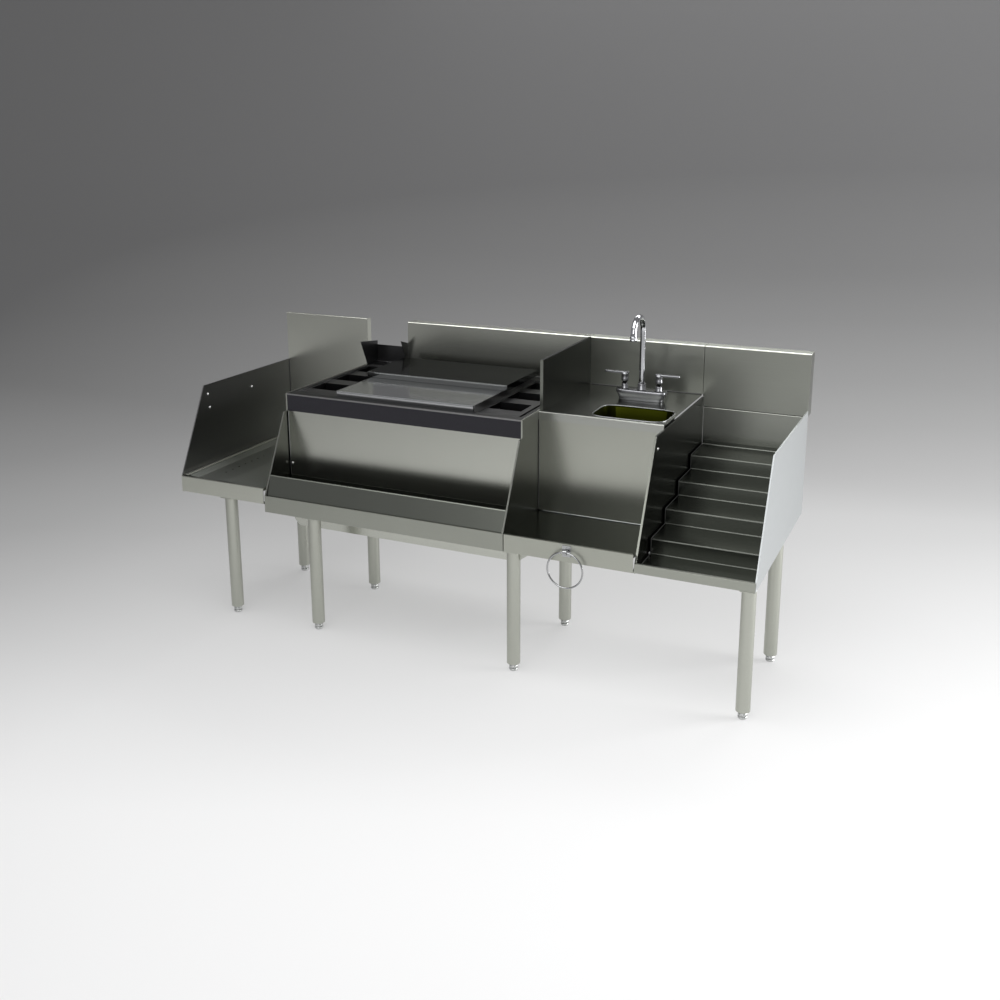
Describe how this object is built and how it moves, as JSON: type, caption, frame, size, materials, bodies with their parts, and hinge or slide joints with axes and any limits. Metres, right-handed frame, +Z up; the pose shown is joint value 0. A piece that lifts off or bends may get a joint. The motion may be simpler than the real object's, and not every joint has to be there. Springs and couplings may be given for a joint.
{
  "type": "underbar work station",
  "caption": "Stainless underbar station: drainboard, covered ice bin with bottle wells and speed rail, hand sink with mixer tap, stepped bottle display, on legs with screw feet.",
  "frame": {"origin": "middle of the bounding box at floor level", "axes": "+X along the bar to the right seen from the bartender's side, +Y from the aprons to the backsplash, +Z up"},
  "size_m": [1.941, 0.783, 1.0435],
  "materials": {
    "stainless": "brushed",
    "stainless_dark": "brushed, in shade",
    "dark_band": "dark satin",
    "foam": "rigid foam",
    "chrome": "polished",
    "brass": "turned",
    "plug": "cast",
    "foot": "satin",
    "leg_tube": "ground tube",
    "galvanised": "galvanised",
    "bolt": "polished"
  },
  "bodies": {
    "station": {"drain_pan": "stainless", "pan_drain": "stainless", "left_splash": "stainless", "left_riser": "stainless", "hose_chase": "stainless_dark", "bin_left_panel": "stainless", "bin_right_panel": "stainless", "bin_shell": "stainless", "bin_insulation": "foam", "bin_liner": "stainless", "bin_drain": "stainless", "bin_rim": "stainless", "bin_fascia": "dark_band", "cover_rails": "stainless", "speed_rail": "stainless", "rail_band": "stainless", "bin_apron": "stainless", "bin_backsplash": "stainless", "divider_panel": "stainless", "sink_deck": "stainless", "sink_bowl": "stainless", "sink_strainer": "stainless", "sink_tailpiece": "stainless", "sink_front_panel": "stainless", "low_shelf": "stainless", "sink_apron": "stainless", "sink_side_panel": "stainless", "sink_backsplash": "stainless", "faucet_body": "chrome", "faucet_shanks": "brass", "ring_bracket": "chrome", "display_pan": "stainless", "display_steps": "stainless", "right_splash": "stainless", "display_backsplash": "stainless", "display_back": "stainless", "leg_rails": "galvanised", "legs": "leg_tube", "leg_plugs": "plug", "panel_bolts": "bolt"},
    "drain_insert": {"drain_insert": "stainless"},
    "left_tray": {"bottle_well_left": "stainless"},
    "right_tray": {"bottle_well_right": "stainless"},
    "front_lid": {"front_cover": "stainless"},
    "rear_lid": {"rear_cover": "stainless"},
    "spout": {"faucet_spout": "chrome", "faucet_aerator": "chrome"},
    "hot_lever": {"left_handle": "chrome", "valve_stem_left": "brass"},
    "cold_lever": {"right_handle": "chrome", "valve_stem_right": "brass"},
    "ring": {"towel_ring": "chrome"},
    "foot_1": {"foot_1": "foot"},
    "foot_2": {"foot_2": "foot"},
    "foot_3": {"foot_3": "foot"},
    "foot_4": {"foot_4": "foot"},
    "foot_5": {"foot_5": "foot"},
    "foot_6": {"foot_6": "foot"},
    "foot_7": {"foot_7": "foot"},
    "foot_8": {"foot_8": "foot"}
  },
  "joints": [
    {"name": "insert_lift", "type": "slide", "parent": "station", "child": "drain_insert", "axis": [0, 0, 1], "range_m": [0, 0.15]},
    {"name": "left_tray_lift", "type": "slide", "parent": "station", "child": "left_tray", "axis": [0, 0, 1], "range_m": [0, 0.02]},
    {"name": "right_tray_lift", "type": "slide", "parent": "station", "child": "right_tray", "axis": [0, 0, 1], "range_m": [0, 0.02]},
    {"name": "front_lid_slide", "type": "slide", "parent": "station", "child": "front_lid", "axis": [0, 1, 0], "range_m": [0, 0.215]},
    {"name": "rear_lid_slide", "type": "slide", "parent": "station", "child": "rear_lid", "axis": [0, -1, 0], "range_m": [0, 0.215]},
    {"name": "spout_swivel", "type": "hinge", "parent": "station", "child": "spout", "pos_m": [0.4615, 0.18946, 0.9], "axis": [0, 0, 1], "range_deg": [-120, 120]},
    {"name": "hot_turn", "type": "hinge", "parent": "station", "child": "hot_lever", "pos_m": [0.404, 0.18946, 0.83], "axis": [0, 0, 1], "range_deg": [0, 90]},
    {"name": "cold_turn", "type": "hinge", "parent": "station", "child": "cold_lever", "pos_m": [0.519, 0.18946, 0.83], "axis": [0, 0, -1], "range_deg": [0, 90]},
    {"name": "ring_swing", "type": "hinge", "parent": "station", "child": "ring", "pos_m": [0.4245, -0.3845, 0.4282], "axis": [-1, 0, 0], "range_deg": [-12, 95]},
    {"name": "foot_1_screw", "type": "slide", "parent": "station", "child": "foot_1", "axis": [0, 0, -1], "range_m": [0, 0.025]},
    {"name": "foot_2_screw", "type": "slide", "parent": "station", "child": "foot_2", "axis": [0, 0, -1], "range_m": [0, 0.025]},
    {"name": "foot_3_screw", "type": "slide", "parent": "station", "child": "foot_3", "axis": [0, 0, -1], "range_m": [0, 0.025]},
    {"name": "foot_4_screw", "type": "slide", "parent": "station", "child": "foot_4", "axis": [0, 0, -1], "range_m": [0, 0.025]},
    {"name": "foot_5_screw", "type": "slide", "parent": "station", "child": "foot_5", "axis": [0, 0, -1], "range_m": [0, 0.025]},
    {"name": "foot_6_screw", "type": "slide", "parent": "station", "child": "foot_6", "axis": [0, 0, -1], "range_m": [0, 0.025]},
    {"name": "foot_7_screw", "type": "slide", "parent": "station", "child": "foot_7", "axis": [0, 0, -1], "range_m": [0, 0.025]},
    {"name": "foot_8_screw", "type": "slide", "parent": "station", "child": "foot_8", "axis": [0, 0, -1], "range_m": [0, 0.025]}
  ]
}
